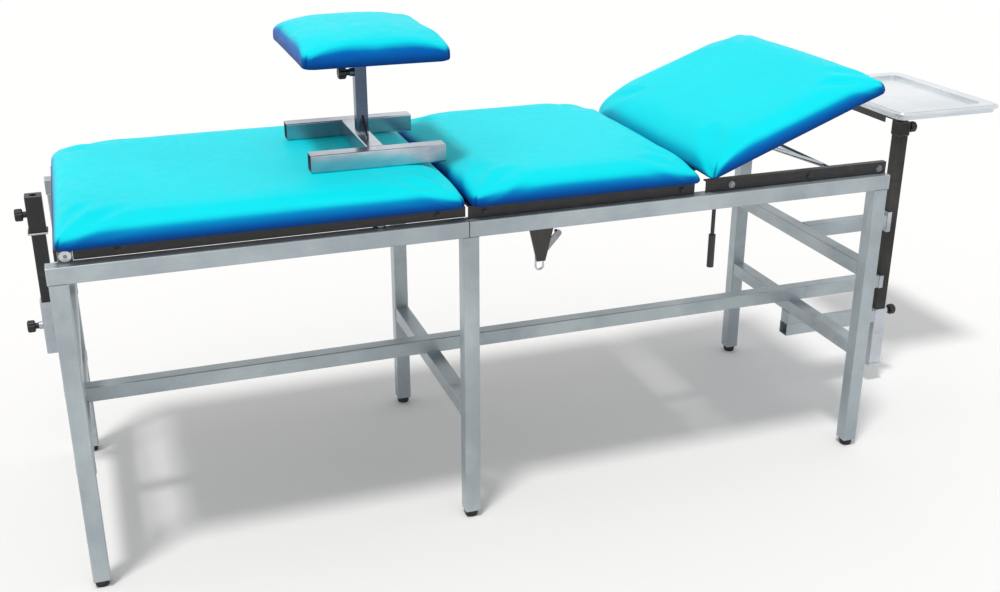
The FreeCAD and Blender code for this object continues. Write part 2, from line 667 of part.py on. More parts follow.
pin = rod(POST_X, "0", "post_top - pin_length", "pin_radius", "pin_length + tray_gap")
arm_z = "post_top + slide_gap"
boss = rod(POST_X, "0", arm_z, "boss_radius", "tray_gap - slide_gap + tray_height - tray_sheet")
node("tray_swivel_pin", fuse(pin, boss))

# Arm that carries the tray: a strip with a round end on the pin and a downturned edge
arm_sheet = "tray_gap - slide_gap"
arm_edge = POST_X + " - tray_inset"
lip_start = "post_block_side / 2 + slide_gap + knob_hub + knob_head + arm_lip_gap"
strip = box(arm_edge, "0", arm_z, "2 * tray_inset", "arm_length", arm_sheet)
round_end = rod(POST_X, "0", arm_z, "tray_inset", arm_sheet)
lip = box(
    arm_edge, lip_start, arm_z + " - arm_lip", "arm_lip_thick", "arm_length - (%s)" % lip_start, "arm_lip"
)
pin_hole = rod(POST_X, "0", "post_top", "boss_radius + bore_gap", "tray_gap + 1")
node("tray_arm", cut(fuse(strip, round_end, lip), pin_hole))

# Foot post: a square tube, a plate and the clamp head with its accessory socket
foot_tube = bar(
    "foot_post_x", "foot_post_y", "foot_post_z", "foot_head_z - foot_washer_thick - foot_post_z",
    side="post_side", corner="post_corner", wall="post_wall",
)
washer = box(
    "foot_post_x - foot_washer_side / 2", "foot_post_y - foot_washer_side / 2",
    "foot_head_z - foot_washer_thick",
    "foot_washer_side", "foot_washer_side", "foot_washer_thick",
)
node("foot_post", fuse(foot_tube, washer))
clamp = bar(
    "foot_post_x", "foot_post_y", "foot_head_z", "foot_head_height", side="foot_head_side",
    corner="post_corner",
)
socket = rod(
    "foot_post_x", "foot_post_y", "foot_head_z + foot_head_height - socket_depth", "socket_radius",
    "socket_depth + 1",
)
clamp_bore = rod(
    "foot_post_x", "foot_post_y", "foot_head_knob_z", "stud_radius + bore_gap", "foot_head_side", TO_MINUS_X
)
node("foot_post_head", cut(clamp, socket, clamp_bore))

# Clamp knobs, each with the stud that its seat needs
sleeve_stud = "knob_boss + %s - slide_gap" % SLEEVE_WALL
seats = (
    ("head_sleeve_knob", sleeve_stud, POST_X + " + sleeve_side / 2 + knob_boss + slide_gap", "0",
     head_knob_z, TO_X),
    ("tray_clamp_knob", "post_block_side / 2 - pin_radius - 1",
     POST_X + " + post_block_side / 2 + slide_gap", "0", tray_knob_z, TO_X),
    ("foot_sleeve_knob", sleeve_stud, "foot_post_x - sleeve_side / 2 - knob_boss - slide_gap", "foot_post_y",
     "foot_knob_z", TO_MINUS_X),
    ("foot_head_knob", "foot_head_side / 2 - socket_radius - 1",
     "foot_post_x - foot_head_side / 2 - slide_gap", "foot_post_y", "foot_head_knob_z", TO_MINUS_X),
    ("stool_knob", "knob_boss + stool_post_wall - slide_gap",
     "stool_x - stool_post_side / 2 - knob_boss - slide_gap", "0",
     STOOL_POST_TOP + " - stool_knob_down", TO_MINUS_X),
)
for label, stud, x, y, z, turn in seats:
    node(label, [put(knob(stud), x, y, z, turn)])


def side_angle(start, end, sign, foot, flange, window=None):
    """One black side angle of an under-frame: a flat flange over a side flange, cut away at a window."""
    near = "-(%s)" % UNDER_Y if sign < 0 else "%s - (%s)" % (UNDER_Y, flange)
    lip_y = "-(%s)" % UNDER_Y if sign < 0 else "%s - angle_thick" % UNDER_Y
    flat = box(start, near, "bed_z - angle_thick", "%s - (%s)" % (end, start), flange, "angle_thick")
    runs = [(start, end)] if window is None else [(start, window[0]), (window[1], end)]
    depth = "bed_z - angle_thick - (%s)" % foot
    uprights = [box(a, lip_y, foot, "%s - (%s)" % (b, a), "angle_thick", depth) for a, b in runs]
    return [flat] + uprights


def cross_angle(x, foot, inward):
    """An end angle between the side angles, its flat flange turned inward."""
    run = "2 * (%s - angle_flange)" % UNDER_Y
    start_y = "-(%s - angle_flange)" % UNDER_Y
    face = x if inward > 0 else "%s - angle_thick" % x
    flat_x = x if inward > 0 else "%s - angle_flange" % x
    upright = box(face, start_y, foot, "angle_thick", run, "bed_z - (%s)" % foot)
    flat = box(flat_x, start_y, "bed_z - angle_thick", "angle_flange", run, "angle_thick")
    return [upright, flat]


# Foot section: rolling under-frame, board and cushion
leg_end = "joint_x - section_gap"
roll_foot = "rail_top + roll_clear"
window = ("roller_foot_x - roller_radius - window_gap", "roller_foot_x + roller_radius + window_gap")
leg_frame = []
for sign in (-1, 1):
    leg_frame += side_angle("leg_bed_start", leg_end, sign, roll_foot, "angle_flange", window)
leg_frame += cross_angle("leg_bed_start", roll_foot, 1)
leg_frame += cross_angle(leg_end, roll_foot, -1)
node("leg_underframe", fuse(*leg_frame))
board_width = CUSHION_WIDTH + " - 2 * board_inset"
node(
    "leg_board",
    [box("leg_cushion_start + board_inset", "-(%s) / 2" % board_width, "bed_z",
         "joint_x - seam_half - leg_cushion_start - 2 * board_inset", board_width, "board_thick")],
)
node(
    "leg_cushion",
    cushion("leg_cushion_start", "joint_x - seam_half", CUSHION_WIDTH, BOARD_TOP, "cushion_thick"),
)

# Middle section, fixed, and the ledges that the backrest lies down on
middle_start = "joint_x + section_gap"
middle_frame = []
for sign in (-1, 1):
    middle_frame += side_angle(middle_start, "middle_frame_end", sign, "rail_top", "angle_flange")
middle_frame += cross_angle(middle_start, "rail_top", 1)
middle_frame += cross_angle("middle_frame_end", "rail_top", -1)
node("middle_underframe", fuse(*middle_frame))
ledges = []
for sign in (-1, 1):
    ledge = side_angle("hinge_x + head_start", "table_length", sign, "rail_top", "ledge_flange")
    ledges.append(fuse(*ledge))
node("head_ledges", ledges)
node(
    "middle_board",
    [box("joint_x + seam_half + board_inset", "-(%s) / 2" % board_width, "bed_z",
         "middle_end - joint_x - seam_half - 2 * board_inset", board_width, "board_thick")],
)
node(
    "middle_cushion",
    cushion(
        "joint_x + seam_half", "middle_end", CUSHION_WIDTH, BOARD_TOP, "cushion_thick", "0", "middle_bevel"
    ),
)

# Bearing rollers between the foot section and the rails, and what carries them
carriers = []
for label, along in (("foot_end_rollers", "roller_foot_x"), ("seam_end_rollers", "roller_seam_x")):
    pair = []
    for sign in (-1, 1):
        wheel = body("roller")
        inset = "roller_width - 1"
        points = (
            ("roller_bore + bore_gap", "0"),
            ("roller_radius - 1", "0"),
            ("roller_radius", "1"),
            ("roller_radius", inset),
            ("roller_radius - 1", "roller_width"),
            ("roller_radius - roller_recess", "roller_width"),
            ("roller_radius - roller_recess", "roller_width - 1"),
            ("roller_bore + roller_recess", "roller_width - 1"),
            ("roller_bore + roller_recess", "roller_width"),
            ("roller_bore + bore_gap", "roller_width"),
        )
        profile = outline(wheel, "XZ_Plane", points, "half_section")
        turned = wheel.newObject("PartDesign::Revolution", "turned")
        turned.Profile = profile
        turned.ReferenceAxis = (profile, ["V_Axis"])
        turned.Angle = 360
        turn = FreeCAD.Rotation(FreeCAD.Vector(1, 0, 0), 90 if sign < 0 else -90)
        pair.append(put(wheel, along, "%d * (%s + roller_gap)" % (sign, INNER_Y), ROLLER_Z, turn))
        lug_y = "-(%s)" % INNER_Y if sign < 0 else "%s - lug_thick" % INNER_Y
        lug = box(
            along + " - lug_length / 2", lug_y, ROLLER_Z + " + roller_bore + 4 - lug_height",
            "lug_length", "lug_thick", "lug_height",
        )
        axle_reach = "roller_gap + lug_thick + roller_width - 1"
        axle_y = "%d * (%s - lug_thick)" % (sign, INNER_Y)
        axle = rod(along, axle_y, ROLLER_Z, "roller_bore", axle_reach, turn)
        nut_y = "%d * (%s - lug_thick)" % (sign, INNER_Y)
        inward = FreeCAD.Rotation(FreeCAD.Vector(1, 0, 0), -90 if sign < 0 else 90)
        nut = rod(along, nut_y, ROLLER_Z, "roller_bore + 3", "4", inward)
        carriers.append(fuse(lug, axle, nut))
    node(label, pair)
node("roller_brackets", carriers)

# Backrest: board, cushion and moving hinge leaves, laid out flat from the hinge line
board_local = "bed_z - hinge_z"
head_board = box(
    "head_start + head_foot_skip", "-(%s) / 2" % board_width, board_local,
    "head_length - head_foot_skip - board_inset", board_width, "board_thick",
)
node("head_board", [head_board], *HINGE_TURN)
head_cushion = cushion(
    "head_start", "head_start + head_length", CUSHION_WIDTH, "bed_z - hinge_z + board_thick",
    "cushion_thick", "head_bevel", "0",
)
node("head_cushion", head_cushion, *HINGE_TURN)

fixed_leaves = []
moving_leaves = []
for sign in (-1, 1):
    middle_y = "%d * hinge_side" % sign
    first = "%s - 1.5 * knuckle_length - knuckle_gap" % middle_y
    last = "%s + knuckle_length / 2 + knuckle_gap" % middle_y
    centre = "%s - knuckle_length / 2" % middle_y
    full = "3 * knuckle_length + 2 * knuckle_gap"
    parts = [
        box(
            "middle_frame_end", first, "hinge_z - hinge_radius - 8", "leaf_thick", full,
            "hinge_radius * 2 + 8",
        )
    ]
    for start in (first, last):
        parts.append(rod("hinge_x", start, "hinge_z", "hinge_radius", "knuckle_length", TO_Y))
        parts.append(
            box("middle_frame_end", start, "hinge_z - hinge_radius", "hinge_x - middle_frame_end",
                "knuckle_length", "leaf_thick")
        )
    leaf = cut(fuse(*parts), rod("hinge_x", first, "hinge_z", "hinge_pin_radius", full, TO_Y))
    fixed_leaves.append(leaf)
    pin_y = "%s - 1" % first
    fixed_leaves.append(rod("hinge_x", pin_y, "hinge_z", "hinge_pin_radius - 0.02", full + " + 2", TO_Y))
    knuckle = rod("0", centre, "0", "hinge_radius", "knuckle_length", TO_Y)
    flap = box("0", centre, board_local + " - leaf_thick", "leaf_reach", "knuckle_length", "leaf_thick")
    wing = box(
        "hinge_radius + 4", first, board_local + " - leaf_thick", "leaf_reach - hinge_radius - 4", full,
        "leaf_thick",
    )
    bore = rod("0", centre + " - 1", "0", "hinge_pin_radius + bore_gap", "knuckle_length + 2", TO_Y)
    moving_leaves.append(cut(fuse(knuckle, flap, wing), bore))
node("fixed_hinge_leaves", fixed_leaves)
node("moving_hinge_leaves", moving_leaves, *HINGE_TURN)

# Prop: a welded rod frame that hangs in two ears and stands on the ratchet racks
ears = []
for sign in (-1, 1):
    ear_start = "%d * (%s - ear_inset) - ear_thick / 2" % (sign, INNER_Y)
    cheek = box(
        "prop_arm - ear_half", ear_start, "-ear_drop", "2 * ear_half", "ear_thick",
        board_local + " + ear_drop",
    )
    ear_bore = rod("prop_arm", ear_start + " - 1", "0", "prop_rod + bore_gap", "ear_thick + 2", TO_Y)
    ears.append(cut(cheek, ear_bore))
node("prop_ears", ears, *HINGE_TURN)
leg_y = "(%s - prop_leg_inset)" % INNER_Y
foot_y = "(%s - prop_foot_inset)" % INNER_Y
prop_rods = [
    rod("0", "-" + leg_y, "0", "prop_rod", "2 * " + leg_y, TO_Y),
    rod("prop_arm", "-" + foot_y, "0", "prop_rod", "2 * " + foot_y, TO_Y),
    rod("0", "-" + leg_y, "0", "prop_rod", "prop_arm", TO_X),
    rod("0", leg_y, "0", "prop_rod", "prop_arm", TO_X),
]
node(
    "prop_frame",
    fuse(*prop_rods),
    "hinge_x + prop_arm * cos(backrest_lean * 1 deg)",
    "0",
    "hinge_z + prop_arm * sin(backrest_lean * 1 deg)",
    Y_AXIS,
    "backrest_lean",
)

# Ratchet racks on the rails' inner faces: one tooth, repeated along the rack
racks = []
for sign in (-1, 1):
    owner = body("rack")
    valley = TOOTH_TIP + " - tooth_depth"
    strip = (("0", "0"), ("rack_length", "0"), ("rack_length", valley + " - rack_foot_z"),
             ("0", valley + " - rack_foot_z"))
    pad(owner, outline(owner, "XZ_Plane", strip, "strip"), "rack_thick")
    tooth_points = (
        ("tooth_pitch * 0.2", valley + " - rack_foot_z - 1"),
        ("tooth_pitch", valley + " - rack_foot_z - 1"),
        ("tooth_pitch", TOOTH_TIP + " - rack_foot_z"),
        ("tooth_pitch - tooth_land", TOOTH_TIP + " - rack_foot_z"),
    )
    tooth = pad(owner, outline(owner, "XZ_Plane", tooth_points, "tooth"), "rack_thick")
    row = owner.newObject("PartDesign::LinearPattern", "teeth")
    row.Originals = [tooth]
    row.Direction = (origin_part(owner, "X_Axis"), [""])
    row.setExpression("Length", spell("rack_length - tooth_pitch"))
    row.setExpression("Occurrences", spell("floor(rack_length / tooth_pitch)"))
    owner.Tip = row
    rack_y = "-(%s) + rack_thick" % INNER_Y if sign < 0 else INNER_Y
    racks.append(put(owner, "rack_start", rack_y, "rack_foot_z"))
node("ratchet_racks", racks)

# Latch under the middle section: tapered bracket, lever and hanging wire bail
bracket_points = (
    ("-latch_half", "0"),
    ("-latch_tip_half", "-latch_drop"),
    ("latch_tip_half", "-latch_drop"),
    ("latch_half", "0"),
)
bracket = put(
    plate(bracket_points, "XZ_Plane", "latch_thick", reverse=True), "latch_x", "-(%s)" % INNER_Y,
    "latch_top_z",
)
latch_pin = rod(
    "latch_x", "-(%s)" % INNER_Y, LATCH_PIN_Z, "latch_pin_radius", "3 * latch_thick + bail_wire", TO_Y
)
node("latch_bracket", fuse(bracket, latch_pin))
lever_y = "-(%s) + latch_thick + slide_gap" % INNER_Y
lever_arm = box("0", "0", "-latch_lever_half", "latch_lever_length", "latch_thick", "2 * latch_lever_half")
lever_eye = rod("0", "0", "0", "latch_lever_half + 2", "latch_thick", TO_Y)
lever_tip = rod("latch_lever_length", "0", "0", "latch_lever_half", "latch_thick", TO_Y)
lever_bore = rod("0", "-1", "0", "latch_pin_radius + bore_gap", "latch_thick + 2", TO_Y)
lever_handle = rod("latch_lever_length", "latch_thick", "0", "4", "14", TO_Y)
lever = cut(fuse(lever_arm, lever_eye, lever_tip, lever_handle), lever_bore)
node("latch_lever", lever, "latch_x", lever_y, LATCH_PIN_Z, Y_AXIS, "-latch_lean")
bail = body("bail")
loop = sketch(bail, "XZ_Plane", "loop")
rounded(loop, "2 * bail_half", "bail_length", "bail_half - 0.2", (21.0, 44.0, 10.0))
rounded(loop, "2 * (bail_half - bail_wire)", "bail_length - 2 * bail_wire", "bail_half - bail_wire - 0.2",
        (14.0, 37.0, 6.0))
pad(bail, loop, "bail_wire", reverse=True)
bail_y = "-(%s) + 2 * latch_thick + 2 * slide_gap" % INNER_Y
bail_z = LATCH_PIN_Z + " + latch_pin_radius + slide_gap + bail_wire - bail_length / 2"
node("latch_bail", [put(bail, "latch_x", bail_y, bail_z)])

# Release lever that hangs behind the near rail, on its own plate
plate_y = "-(%s)" % INNER_Y
carrier = box(
    "release_x - release_plate / 2", plate_y, "release_z - release_plate / 2", "release_plate",
    "release_plate_thick", "release_plate",
)
pivot_length = "release_plate_thick + 2 * release_rod + 5"
pivot = rod("release_x", plate_y, "release_z", "release_rod", pivot_length, TO_Y)
node("release_lever_bracket", fuse(carrier, pivot))
eye = rod("0", "-release_rod - 1", "0", "release_eye", "2 * release_rod + 2", TO_Y)
shank = rod("0", "0", "-release_drop", "release_rod", "release_drop")
grip = rod("0", "0", "-release_drop - release_grip", "release_grip_radius", "release_grip")
eye_bore = rod("0", "-release_rod - 2", "0", "release_rod + bore_gap", "2 * release_rod + 4", TO_Y)
lever_mid = plate_y + " + release_plate_thick + slide_gap + release_rod + 1"
node("release_lever", cut(fuse(eye, shank, grip), eye_bore), "release_x", lever_mid, "release_z")

# Flexion stool: welded base, stem with its plate, and pad
bar_z = STOOL_FOOT + " + stool_bar / 2"
base_parts = []
for sign in (-1, 1):
    across = "%d * (stool_span / 2 - stool_bar / 2)" % sign
    base_parts.append(
        bar(
            "stool_x - stool_bar_length / 2", across, bar_z, "stool_bar_length", TO_X, "stool_bar",
            wall="tube_wall",
        )
    )
base_parts.append(
    bar("stool_x", "stool_bar - stool_span / 2", bar_z, "stool_span - 2 * stool_bar", TO_Y, "stool_bar",
        wall="tube_wall")
)
stool_post = bar(
    "stool_x", "0", STOOL_POST_FOOT, "stool_post_height", side="stool_post_side", corner="post_corner",
    wall="stool_post_wall",
)
stool_knob_z = STOOL_POST_TOP + " - stool_knob_down"
stool_boss = knob_seat("stool_x - stool_post_side / 2", "0", stool_knob_z, "knob_boss", TO_MINUS_X)
stool_bore = rod(
    "stool_x - stool_post_side / 2 + stool_post_wall + 0.5", "0", stool_knob_z, "stud_radius + bore_gap",
    "knob_boss + stool_post_wall + 2", TO_MINUS_X,
)
post_part = cut(fuse(stool_post, stool_boss), stool_bore)
for sign in ("-", ""):
    corner = (("0", "0"), (sign + "stool_gusset", "0"), ("0", "stool_gusset"))
    web = plate(corner, "YZ_Plane", "gusset_thick", both_ways=True)
    foot_y = "-stool_post_side / 2" if sign else "stool_post_side / 2"
    base_parts.append(put(web, "stool_x", foot_y, STOOL_POST_FOOT))
node("stool_base", base_parts + [post_part])
stem_side = "stool_post_side - 2 * stool_post_wall - 2 * stool_stem_gap"
stem = bar(
    "stool_x", "0", STOOL_POST_TOP + " - stool_stem_in", "stool_stem_in + stool_stem_out", side=stem_side,
    corner="post_corner", wall="post_wall", start=(30.0, 30.0, 3.0),
)
pad_plate = box(
    "stool_x - stool_plate / 2", "-stool_plate / 2", STOOL_PLATE_Z, "stool_plate", "stool_plate",
    "stool_plate_thick",
)
node("stool_stem", fuse(stem, pad_plate))
pad_foot = STOOL_PLATE_Z + " + stool_plate_thick"
node(
    "stool_pad",
    cushion("stool_x - pad_length / 2", "stool_x + pad_length / 2", "pad_width", pad_foot, "pad_thick"),
)

doc.recompute()
faults = [item.Name for item in doc.Objects if "Invalid" in item.State or "Error" in item.State]
for item in nodes:
    shape = item.Shape
    if shape.isNull() or not shape.isValid() or not shape.Solids:
        faults.append(item.Label)
if faults:
    raise SystemExit("these did not build: " + ", ".join(sorted(set(faults))))
for item in nodes:
    item.Shape.exportStep("parts/%s.step" % item.Label)
print("%d sub-parts, %d solids" % (len(nodes), sum(len(item.Shape.Solids) for item in nodes)))
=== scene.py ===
import json
import math

import bmesh
import bpy
from mathutils import Matrix, Vector


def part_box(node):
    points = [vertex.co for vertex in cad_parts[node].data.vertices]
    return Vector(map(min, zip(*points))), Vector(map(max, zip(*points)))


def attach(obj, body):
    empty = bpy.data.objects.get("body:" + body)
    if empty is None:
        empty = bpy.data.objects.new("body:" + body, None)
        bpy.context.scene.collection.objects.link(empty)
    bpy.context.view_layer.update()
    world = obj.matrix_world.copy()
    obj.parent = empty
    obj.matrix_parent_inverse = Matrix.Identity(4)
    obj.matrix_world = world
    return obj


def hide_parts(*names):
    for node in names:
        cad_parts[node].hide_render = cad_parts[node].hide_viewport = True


# The table is laid out in millimetres from the foot end of its rails, the centre line
# and the floor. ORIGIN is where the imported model's own origin lies in those terms.
ORIGIN = (1164.0, 51.0)
HINGE = (1369.0, 732.0)
BACKREST_LEAN = math.radians(21)
MM = 0.001

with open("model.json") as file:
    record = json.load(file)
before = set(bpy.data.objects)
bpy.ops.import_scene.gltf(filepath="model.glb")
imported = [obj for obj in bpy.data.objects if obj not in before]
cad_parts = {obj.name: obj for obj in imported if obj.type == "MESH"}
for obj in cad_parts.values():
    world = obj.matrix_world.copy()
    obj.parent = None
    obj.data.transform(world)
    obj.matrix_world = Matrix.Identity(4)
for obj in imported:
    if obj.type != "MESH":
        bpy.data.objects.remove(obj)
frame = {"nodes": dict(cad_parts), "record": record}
nodes = frame["nodes"]
scene = bpy.context.scene
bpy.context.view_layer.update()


def at(x, y, z):
    """A point of the table in millimetres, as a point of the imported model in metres."""
    return Vector(((x - ORIGIN[0]) / 1000, (y - ORIGIN[1]) / 1000, z / 1000))


# Where a mesh laid out from the table's own zero goes: flat, or on the raised backrest.
FLAT = Matrix.Translation(at(0, 0, 0))
RAISED = Matrix.Translation(at(HINGE[0], 0, HINGE[1])) @ Matrix.Rotation(-BACKREST_LEAN, 4, "Y")


def rgb(red, green, blue):
    """A colour as it looks on screen, 0 to 255, as the linear values that shaders take."""
    out = []
    for part in (red, green, blue):
        c = part / 255
        out.append(c / 12.92 if c <= 0.04045 else ((c + 0.055) / 1.055) ** 2.4)
    return (*out, 1.0)


def darker(colour, share):
    return tuple(share * part for part in colour[:3]) + (1.0,)


# Materials

class Shader:
    """A material whose nodes are added and linked one call at a time."""

    def __init__(self, name):
        self.material = bpy.data.materials.new(name)
        self.material.use_nodes = True
        self.tree = self.material.node_tree
        self.surface = self.tree.nodes["Principled BSDF"]
        self.place = self.add("ShaderNodeTexCoord").outputs["Object"]

    def add(self, kind, **settings):
        item = self.tree.nodes.new(kind)
        for key, value in settings.items():
            setattr(item, key, value)
        return item

    def put(self, socket, value):
        if isinstance(value, bpy.types.NodeSocket):
            self.tree.links.new(value, socket)
        else:
            socket.default_value = value

    def feed(self, item, **inputs):
        """Set or link a node's inputs by name, with _ for a space."""
        for key, value in inputs.items():
            self.put(item.inputs[key.replace("_", " ")], value)
        return item

    def stretched(self, x, y, z):
        """The object's coordinates, scaled by axis."""
        item = self.add("ShaderNodeMapping")
        self.feed(item, Vector=self.place, Scale=(x, y, z))
        return item.outputs["Vector"]

    def noise(self, scale, detail=4.0, rough=0.55, where=None):
        item = self.add("ShaderNodeTexNoise")
        self.feed(item, Vector=where or self.place, Scale=scale, Detail=detail, Roughness=rough)
        return item.outputs["Fac"]

    def cells(self, scale, feature="F1"):
        item = self.add("ShaderNodeTexVoronoi", feature=feature)
        self.feed(item, Vector=self.place, Scale=scale)
        return item.outputs["Distance"]

    def ramp(self, value, low, high, first=0.0, last=1.0):
        """Map a value between two levels onto a new range, held at its ends."""
        item = self.add("ShaderNodeMapRange")
        self.feed(item, Value=value, From_Min=low, From_Max=high, To_Min=first, To_Max=last)
        return item.outputs["Result"]

    def mix(self, factor, first, second):
        item = self.add("ShaderNodeMix", data_type="RGBA")
        sockets = {s.identifier: s for s in item.inputs}
        self.put(sockets["Factor_Float"], factor)
        self.put(sockets["A_Color"], first)
        self.put(sockets["B_Color"], second)
        return [s for s in item.outputs if s.identifier == "Result_Color"][0]

    def times(self, first, second):
        item = self.add("ShaderNodeMath", operation="MULTIPLY")
        self.put(item.inputs[0], first)
        self.put(item.inputs[1], second)
        return item.outputs["Value"]

    def edges(self, width):
        """1 on sharp edges, 0 on flat faces, from the difference that a bevel makes to the normal."""
        bevel = self.add("ShaderNodeBevel", samples=4)
        self.feed(bevel, Radius=width)
        plain = self.add("ShaderNodeNewGeometry").outputs["Normal"]
        likeness = self.add("ShaderNodeVectorMath", operation="DOT_PRODUCT")
        self.put(likeness.inputs[0], bevel.outputs["Normal"])
        self.put(likeness.inputs[1], plain)
        return self.ramp(likeness.outputs["Value"], 0.995, 0.88)

    def bump(self, *layers):
        """Stack bumps, each (height, strength, distance in metres), onto the surface."""
        normal = None
        for height, strength, distance in layers:
            item = self.add("ShaderNodeBump")
            self.feed(item, Height=height, Strength=strength, Distance=distance)
            if normal:
                self.put(item.inputs["Normal"], normal)
            normal = item.outputs["Normal"]
        self.put(self.surface.inputs["Normal"], normal)

    def finish(self, **inputs):
        self.feed(self.surface, **inputs)
        return self.material


# Each maker below returns a function that makes its material for the axis the grain runs along.
# GRAIN stretches the noise by axis, so that its lines run along the one named.
GRAIN = {"X": (0.5, 9.0, 9.0), "Y": (9.0, 0.5, 9.0), "Z": (9.0, 9.0, 0.5)}


def steel(name, light, dark, metallic, rough, dirt=0.3, bump=0.1, post=None):
    """Drawn steel, its fine lines along one axis, with cloudy tone, a few dull smudges and a painted
    highlight on its edges.
    post is the level above which a painted shade replaces its tone, in metres, and that shade's colour."""
    def make(along):
        s = Shader(name + "_" + along.lower())
        lines = s.noise(60.0, 3.0, where=s.stretched(*GRAIN[along]))
        cloud = s.noise(5.0, 5.0)
        smudge = s.ramp(s.noise(19.0, 6.0, 0.65), 0.57, 0.75)
        tone = s.mix(s.ramp(cloud, 0.36, 0.64), light, dark)
        tone = s.mix(s.ramp(lines, 0.3, 0.7, 0.0, 0.3), tone, dark)
        tone = s.mix(s.times(smudge, dirt), tone, darker(dark, 0.4))
        # painted shade above the given height
        if post:
            height = s.add("ShaderNodeSeparateXYZ")
            s.put(height.inputs[0], s.place)
            share = s.ramp(height.outputs["Z"], post[0], post[0] + 0.004, 0.0, 0.85)
            tone = s.mix(share, tone, post[1])
        # painted highlight: edges lightened towards near-white
        tone = s.mix(s.times(s.edges(0.0015), 0.3), tone, rgb(236, 238, 240))
        s.bump((lines, bump, 0.0003))
        roughness = s.ramp(s.mix(smudge, lines, (1.0, 1.0, 1.0, 1.0)), 0.3, 1.0, *rough)
        return s.finish(Base_Color=tone, Metallic=metallic, Roughness=roughness)
    return make


def paint(name, colour, worn, rough=0.42):
    """Sprayed paint with a faint orange peel, rubbed lighter on edges and in patches."""
    def make(along):
        s = Shader(name + "_" + along.lower())
        peel = s.noise(420.0, 2.0)
        rub = s.noise(60.0, 4.0, where=s.stretched(*GRAIN[along]))
        patch = s.ramp(s.noise(30.0, 7.0, 0.7), 0.58, 0.74)
        tone = s.mix(s.ramp(rub, 0.45, 0.8, 0.0, 0.25), colour, worn)
        tone = s.mix(s.times(patch, 0.45), tone, worn)
        tone = s.mix(s.times(s.edges(0.0012), 0.6), tone, worn)
        s.bump((peel, 0.08, 0.0003), (patch, 0.15, 0.0002))
        return s.finish(Base_Color=tone, Roughness=s.ramp(patch, 0, 1, rough, rough + 0.2))
    return make


# How much painted shade each point of a cover takes: on its steep sides, low down on them, and in its corner
# folds.
MARKS = ("side_shade", "under", "crease_shade")


def vinyl(name, top, side, deep_shade):
    """Coated cloth over foam: leather grain, soft dents, and painted shade: deeper blue on the steep sides,
    darker low on them and in the corner folds.
    """
    def make(along):
        s = Shader(name)
        side_shade, under, crease_shade = (
            s.add("ShaderNodeAttribute", attribute_name=mark).outputs["Fac"] for mark in MARKS
        )
        cloud = s.noise(4.0, 3.0)
        grain = s.ramp(s.cells(520.0, "DISTANCE_TO_EDGE"), 0.0, 0.2)
        tone = s.mix(s.ramp(cloud, 0.35, 0.7, 0.0, 0.35), top, darker(top, 0.86))
        tone = s.mix(s.ramp(grain, 0.0, 1.0, 0.16, 0.0), tone, darker(top, 0.7))
        # Painted shade: the side colour on steep sides, the deepest colour low on them and in the corner
        # folds.
        tone = s.mix(side_shade, tone, side)
        tone = s.mix(under, tone, deep_shade)
        tone = s.mix(crease_shade, tone, deep_shade)
        creases = s.noise(60.0, 5.0, where=s.stretched(1.0, 0.6, 1.4))
        s.bump((s.noise(11.0, 2.0), 0.2, 0.003), (creases, 0.1, 0.0006), (grain, 0.4, 0.0004))
        return s.finish(
            Base_Color=tone, Roughness=s.ramp(creases, 0.3, 0.7, 0.34, 0.48), Specular_IOR_Level=0.06
        )
    return make


def plywood(name):
    """Dark plywood, its grain along the table."""
    def make(along):
        s = Shader(name)
        grain = s.noise(9.0, 8.0, 0.6, where=s.stretched(1.0, 14.0, 14.0))
        tone = s.mix(s.ramp(grain, 0.3, 0.7), rgb(74, 56, 40), rgb(44, 33, 25))
        s.bump((grain, 0.2, 0.0008))
        return s.finish(Base_Color=tone, Roughness=0.62)
    return make


def plastic(name, colour, rough=0.45):
    """Moulded plastic with a fine texture, scuffed lighter in patches and on edges."""
    def make(along):
        s = Shader(name)
        fine = s.noise(650.0, 2.0)
        scuff = s.ramp(s.noise(70.0, 5.0, 0.7), 0.6, 0.75)
        tone = s.mix(s.times(scuff, 0.35), colour, rgb(92, 92, 94))
        tone = s.mix(s.times(s.edges(0.0008), 0.3), tone, rgb(110, 110, 112))
        s.bump((fine, 0.18, 0.0003))
        return s.finish(Base_Color=tone, Roughness=s.ramp(scuff, 0, 1, rough, rough + 0.2))
    return make


def rubber(name):
    """Dull black rubber with pale dust."""
    def make(along):
        s = Shader(name)
        dust = s.ramp(s.noise(60.0, 6.0, 0.7), 0.5, 0.75)
        tone = s.mix(s.times(dust, 0.5), rgb(34, 34, 36), rgb(104, 100, 94))
        s.bump((s.noise(300.0, 3.0), 0.25, 0.0005))
        return s.finish(Base_Color=tone, Roughness=0.78)
    return make
